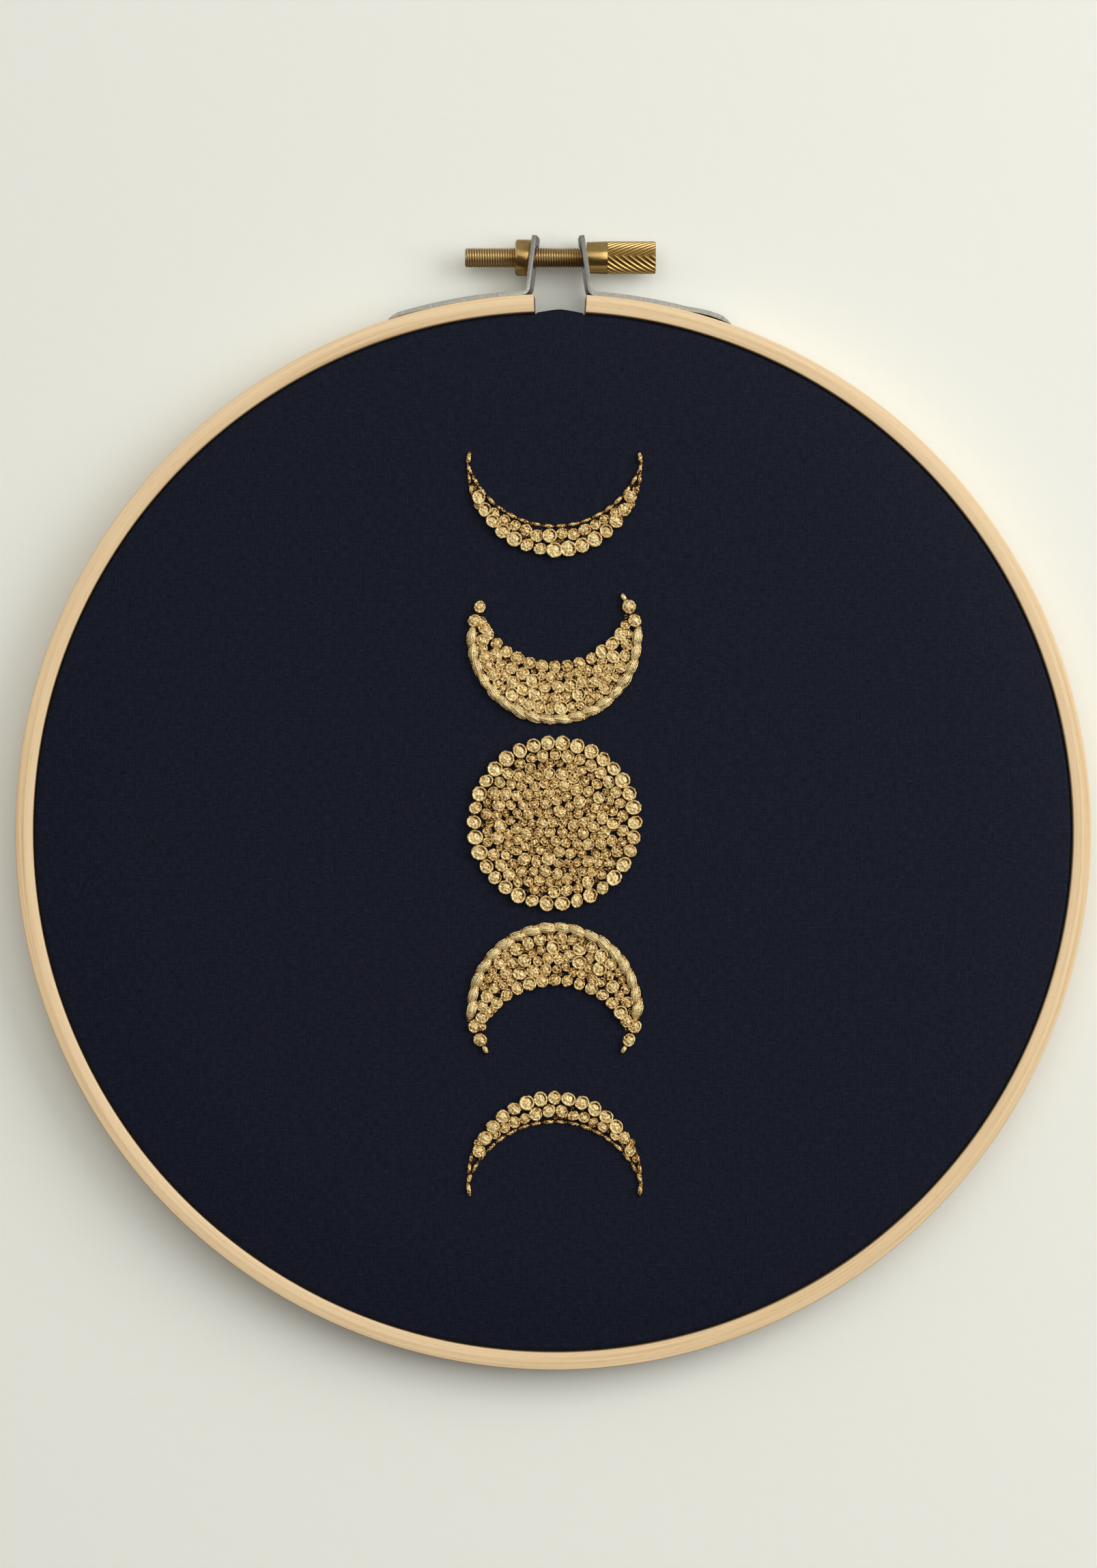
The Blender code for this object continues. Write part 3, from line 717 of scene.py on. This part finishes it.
def underlay(count, spots, inside, rng):
    """Short stitches under the knots. They lie low, so the thread's painted shade for low places draws them
    dark in the gaps between the knots.
    """
    patches = []
    while len(patches) < count:
        middle = spots[rng.randrange(len(spots))]
        turn, half = rng.random() * TURN, rng.uniform(1.2, 2.2) * MM
        along = np.array([math.cos(turn), math.sin(turn)]) * half
        if inside(middle + along) and inside(middle - along):
            patches.append(stitch(middle - along, middle + along, 0.5 * MM, rng, arch=0.5, steps=5))
    return patches


def settle(points, radii, fixed, keep_inside, rounds=260):
    """Pushes overlapping knots apart inside a shape; fixed ones stay. Places are (x, z) rows."""
    for _ in range(rounds):
        apart = points[:, None] - points[None]
        distance = np.linalg.norm(apart, axis=2) + np.eye(len(points))
        want = (radii[:, None] + radii[None]) * 0.98
        push = np.clip(want - distance, 0, None) * (1 - np.eye(len(points)))
        step = (apart / distance[:, :, None] * push[:, :, None]).sum(1) * 0.35
        step[:fixed] = 0
        points = points + step
        points[fixed:] = keep_inside(points[fixed:], radii[fixed:])
    return points


def within(points, centre, limit, inside):
    """Points moved just inside or outside a circle, where limit is its radius for each point."""
    away = points - np.array(centre)
    distance = np.linalg.norm(away, axis=1)
    wrong = distance > limit if inside else distance < limit
    factor = np.where(wrong, limit / np.maximum(distance, 1e-9), 1.0)
    return np.array(centre) + away * factor[:, None]


def fill_gaps(points, radii, spots, room, rng):
    """Small knots where the gaps leave room for them, the widest gap first."""
    smallest, largest = 0.34 * MM, 0.95 * MM
    apart = np.linalg.norm(spots[:, None] - points[None], axis=2) - radii[None]
    free = np.minimum(room, apart.min(1))
    points, radii = list(points), list(radii)
    while free.max() > smallest:
        k = int(free.argmax())
        radius = min(free[k] * 1.18, largest)
        if rng.random() < 0.97:
            points.append(spots[k])
            radii.append(radius)
        free = np.minimum(free, np.linalg.norm(spots - spots[k], axis=1) - radius)
    return points, radii


def grid_of_spots(centre):
    """Places 0.3 mm apart all over a moon's disc."""
    steps = np.arange(-MOON_R, MOON_R, 0.3 * MM)
    x, z = np.meshgrid(steps, steps)
    return np.stack([x.ravel() + centre[0], z.ravel() + centre[1]], 1)


def knots_at(points, radii, rng):
    grown = [radius * (1.0 if radius > 1.41 * MM else 1.07) for radius in radii]
    return [knot(x, z, radius, rng) for (x, z), radius in zip(points, grown)]


def arc_points(centre, radius, turns, up):
    """Points on a circle at turns from its lowest point, or from its highest if up is -1."""
    turns = np.asarray(turns)
    return np.stack([centre[0] + radius * np.sin(turns), centre[1] - up * radius * np.cos(turns)], 1)


def sizes_of(count, choices, rng):
    return np.array([rng.choice(choices) * MM * rng.uniform(0.96, 1.04) for _ in range(count)])


def full_moon(height, rng):
    """A rim of large knots and a filled middle."""
    centre = (MOON_X, height)
    rim_size = 1.56 * MM
    rim_radii = sizes_of(34, (1.42, 1.50, 1.58, 1.66), rng)
    steps = rim_radii / rim_radii.sum() * TURN
    rim = arc_points(centre, MOON_R - rim_size, np.cumsum(steps) - steps / 2, 1)
    fill_radii = sizes_of(158, (0.85, 1.0, 1.08, 1.12, 1.2, 1.3), rng)
    spots = []
    for radius in fill_radii:
        turn, far = rng.random() * TURN, math.sqrt(rng.random()) * (MOON_R - 4.4 * MM)
        spots.append((centre[0] + far * math.sin(turn), centre[1] + far * math.cos(turn)))
    points = np.vstack([rim, np.array(spots)])
    radii = np.concatenate([rim_radii, fill_radii])
    limit = MOON_R - 2 * rim_size + 0.45 * MM
    points = settle(points, radii, len(rim), lambda p, r: within(p, centre, limit - r, True))
    grid = grid_of_spots(centre)
    room = limit + 0.5 * MM - np.linalg.norm(grid - centre, axis=1)
    patches = knots_at(*fill_gaps(points, radii, grid, room, rng), rng)
    return patches + underlay(90, grid[room > 0], lambda p: math.dist(p, centre) < MOON_R - 1.2 * MM, rng)


def lune(height, up, cut_r, shift):
    """Centres and end turns of a crescent's two arcs; turns count from its thickest place."""
    tip_up = (MOON_R**2 - cut_r**2 + shift**2) / (2 * shift)
    tip_out = math.sqrt(MOON_R**2 - tip_up**2)
    outer = (MOON_X, height)
    inner = (MOON_X, height + up * shift)
    return outer, inner, math.atan2(tip_out, -tip_up), math.atan2(tip_out, shift - tip_up)


def thick_crescent(height, up, cut_r, shift, rng):
    """Satin bundles along the outer edge, a row of knots along the inner one, and a filled middle."""
    outer, inner, outer_turn, inner_turn = lune(height, up, cut_r, shift)
    patches = []
    width, row, fill = 2.05 * MM, 13, 56
    ends = np.linspace(-outer_turn * 0.79, outer_turn * 0.79, 19)
    line = arc_points(outer, MOON_R - width / 2, ends, up)
    for start, end in zip(line, line[1:]):
        lap = (end - start) * 0.27
        patches += bundle(start - lap, end + lap, width * rng.uniform(0.96, 1.12), rng)
    row_radii = sizes_of(row, (1.18, 1.26, 1.34), rng)
    turns = np.linspace(-inner_turn * 0.63, inner_turn * 0.63, row)
    edge_row = arc_points(inner, cut_r + 1.25 * MM, turns, up)
    horns = [arc_points(outer, MOON_R - 1.35 * MM, [side * outer_turn * 0.845], up)[0] for side in (-1, 1)]
    tips = [arc_points(outer, MOON_R - 1.65 * MM, [side * outer_turn * 0.932], up)[0] for side in (-1, 1)]
    horn_radii = sizes_of(4, (1.30, 1.36), rng)
    fill_radii = sizes_of(fill, (1.0, 1.1, 1.2, 1.3, 1.4), rng)
    spots = []
    for radius in fill_radii:
        share = rng.uniform(-0.8, 0.8)
        a = arc_points(outer, MOON_R - 3.4 * MM, [outer_turn * share], up)[0]
        b = arc_points(inner, cut_r + 3.2 * MM, [inner_turn * share], up)[0]
        spots.append(a + (b - a) * rng.random())
    points = np.vstack([horns, tips, edge_row, np.array(spots)])
    radii = np.concatenate([horn_radii, row_radii, fill_radii])

    def keep(p, r):
        p = within(p, outer, MOON_R - width * 0.9 - r, True)
        return within(p, inner, cut_r + r * 0.95, False)

    points = settle(points, radii, 4 + row, keep)
    grid = grid_of_spots(outer)
    below = MOON_R - width * 0.85 - np.linalg.norm(grid - outer, axis=1)
    room = np.minimum(below, np.linalg.norm(grid - inner, axis=1) - cut_r)
    patches += knots_at(*fill_gaps(points, radii, grid, room, rng), rng)

    def covered(p):
        return math.dist(p, outer) < MOON_R - 0.8 * MM and math.dist(p, inner) > cut_r + 0.7 * MM

    patches += underlay(45, grid[room > 0.5 * MM], covered, rng)
    for side in (-1, 1) if up < 0 else (1,):
        ends = [side * outer_turn * share for share in (0.972, 1.022)]
        tip = arc_points(outer, MOON_R - 1.75 * MM, ends, up)
        patches.append(stitch(tip[0], tip[1], 1.0 * MM, rng, arch=1.0))
    return patches


def thin_crescent(height, up, cut_r, shift, rng):
    """Two rows of knots, a line of backstitches along the inner edge, and stitched horns."""
    outer, inner, outer_turn, inner_turn = lune(height, up, cut_r, shift)
    patches = []
    big, small, width = 15, 14, 0.8 * MM
    turns = np.linspace(-outer_turn * 0.71, outer_turn * 0.71, big)
    big_radii = sizes_of(big, (1.48, 1.56, 1.62), rng) - 0.45 * MM * np.abs(turns / outer_turn) ** 2
    outer_row = arc_points(outer, MOON_R - 1.55 * MM, turns, up)
    turns = np.linspace(-inner_turn * 0.66, inner_turn * 0.66, small)
    small_radii = sizes_of(small, (1.15, 1.25, 1.35), rng) - 0.3 * MM * np.abs(turns / inner_turn)
    inner_row = arc_points(inner, cut_r + 1.75 * MM, turns, up)
    points = np.vstack([outer_row, inner_row])
    radii = np.concatenate([big_radii, small_radii])

    def keep(p, r):
        p = within(p, outer, MOON_R - r * 0.98, True)
        return within(p, inner, cut_r + 0.7 * MM + r, False)

    points = settle(points, radii, big, keep)
    grid = grid_of_spots(outer)
    below = MOON_R - 0.5 * MM - np.linalg.norm(grid - outer, axis=1)
    room = np.minimum(below, np.linalg.norm(grid - inner, axis=1) - cut_r - 0.7 * MM)
    patches += knots_at(*fill_gaps(points, radii, grid, room, rng), rng)

    def covered(p):
        return math.dist(p, outer) < MOON_R - 0.8 * MM and math.dist(p, inner) > cut_r + 0.8 * MM

    patches += underlay(30, grid[room > 0.5 * MM], covered, rng)
    ends = np.linspace(-inner_turn * 0.95, inner_turn * 0.95, 19)
    line = arc_points(inner, cut_r + 0.35 * MM, ends, up)
    for start, end in zip(line, line[1:]):
        thick = width * rng.uniform(0.9, 1.1)
        patches.append(stitch(start + (end - start) * 0.03, end, thick, rng, arch=0.62))
    for side in (-1, 1):
        shares = (0.735, 0.81, 0.885, 0.945)
        line = arc_points(outer, MOON_R - 0.5 * MM, [side * outer_turn * s for s in shares], up)
        for start, end in zip(line, line[1:]):
            patches.append(stitch(start, end, width * rng.uniform(0.9, 1.1), rng, arch=0.62))
        tip = arc_points(outer, MOON_R - 0.35 * MM, [side * outer_turn * s for s in (0.945, 1.035)], up)
        patches.append(stitch(tip[0], tip[1], width * 1.2, rng, arch=0.62))
    return patches


MOONS = {
    # node: maker, disc's centre height over the hoop's centre, horns up or down, radius cut away, shift
    "moon_top_thin": (thin_crescent, 70.65 * MM, 1, 17.60 * MM, 6.9 * MM),
    "moon_top_thick": (thick_crescent, 38.15 * MM, 1, 15.10 * MM, 10.4 * MM),
    "moon_bottom_thick": (thick_crescent, -34.75 * MM, -1, 15.10 * MM, 10.4 * MM),
    "moon_bottom_thin": (thin_crescent, -67.45 * MM, -1, 17.60 * MM, 6.9 * MM),
}


def embroidery(thread):
    for seed, (node, (maker, *shape)) in enumerate(MOONS.items()):
        patches = maker(*shape, random.Random(11 + seed))
        stitched(node, patches, thread)
    stitched("moon_full", full_moon(1.7 * MM, random.Random(5)), thread)


def stitched(node, patches, thread):
    name = node.replace("moon", "stitches")
    piece_of(name, patches, thread, node, "hoop", HOOP, layer="thread", crease=80)


# Stage, light and camera


def stage():
    """A stretch of painted wall behind the piece. Only the camera sees it, so it hides no light."""
    half = 1.5
    mesh = bpy.data.meshes.new("wall")
    y = ring_high.y + 0.4 * MM
    corners = [(-half, y, -half), (half, y, -half), (half, y, half), (-half, y, half)]
    mesh.from_pydata(corners, [], [(0, 1, 2, 3)])
    mesh.materials.append(painted_plaster())
    wall = bpy.data.objects.new("wall", mesh)
    bpy.context.scene.collection.objects.link(wall)
    wall.visible_diffuse = False
    wall.visible_glossy = False
    wall.visible_shadow = False


def softbox(name, place, size, power, target):
    light = bpy.data.lights.new(name, "AREA")
    light.shape = "RECTANGLE"
    light.size, light.size_y = size
    light.energy = power
    item = bpy.data.objects.new(name, light)
    item.location = place
    item.rotation_euler = (Vector(target) - Vector(place)).to_track_quat("-Z", "Y").to_euler()
    bpy.context.scene.collection.objects.link(item)
    return item


def lighting():
    """A softbox near at the right, a large one in front that metal doesn't show, and a pale surround.

    The surround is brightest just above eye level and has a dark floor, which the brass shows.
    """
    world = bpy.data.worlds.new("studio")
    bpy.context.scene.world = world
    world.use_nodes = True
    tree = world.node_tree
    place = tree.nodes.new("ShaderNodeTexCoord")
    axes = tree.nodes.new("ShaderNodeSeparateXYZ")
    ramp = tree.nodes.new("ShaderNodeValToRGB")
    span = tree.nodes.new("ShaderNodeMapRange")
    span.inputs["From Min"].default_value = -1
    tree.links.new(place.outputs["Generated"], axes.inputs[0])
    tree.links.new(axes.outputs["Z"], span.inputs["Value"])
    tree.links.new(span.outputs[0], ramp.inputs["Fac"])
    stops = [(0.0, "#4E453C"), (0.47, "#564A3F"), (0.50, "#A8A59C"), (0.53, "#FFFFFF"), (0.7, "#F4F4F0"),
             (0.85, "#B9B9B4")]
    while len(ramp.color_ramp.elements) < len(stops):
        ramp.color_ramp.elements.new(0.5)
    for element, (position, code) in zip(ramp.color_ramp.elements, stops):
        element.position, element.color = position, linear(code)
    background = tree.nodes["Background"]
    background.inputs["Strength"].default_value = 0.74
    tree.links.new(ramp.outputs["Color"], background.inputs["Color"])
    softbox("key", (0.92, -0.74, 0.16), (0.9, 0.9), 8.0, HOOP)
    front = softbox("front", (0.0, -1.5, 0.25), (1.5, 1.5), 8.5, HOOP)
    front.visible_glossy = False


def camera():
    """Square on to the piece. The photo's middle is 9.4 mm above the hoop's centre."""
    pixel = 0.13306 * MM
    wide, high = 1607, 2296
    hoop_px = (810.0, 1218.5)
    far = 0.9
    aim = HOOP + Vector(((wide / 2 - hoop_px[0]) * pixel, ring_low.y, (hoop_px[1] - high / 2) * pixel))
    data = bpy.data.cameras.new("camera")
    data.sensor_width = 36.0
    data.lens = data.sensor_width * far / (high * pixel)
    data.clip_start = 0.05
    item = bpy.data.objects.new("camera", data)
    item.location = aim - Vector((0, far, 0))
    item.rotation_euler = (math.radians(90), 0, 0)
    bpy.context.scene.collection.objects.link(item)
    bpy.context.scene.camera = item


bpy.context.scene.view_settings.view_transform = "Standard"
camera()
stage()
lighting()

hoops(beech())
ground(navy_cotton())
brackets(zinc_steel())
brass = turned_brass("turned brass", [(0.3, "#C49F5C"), (0.5, "#CFAC6C"), (0.7, "#D6B578")])
eased("nut", "round_nut", brass, 0.05 * MM, meet_ear)
thumbscrew(brass)
embroidery(gold_thread())
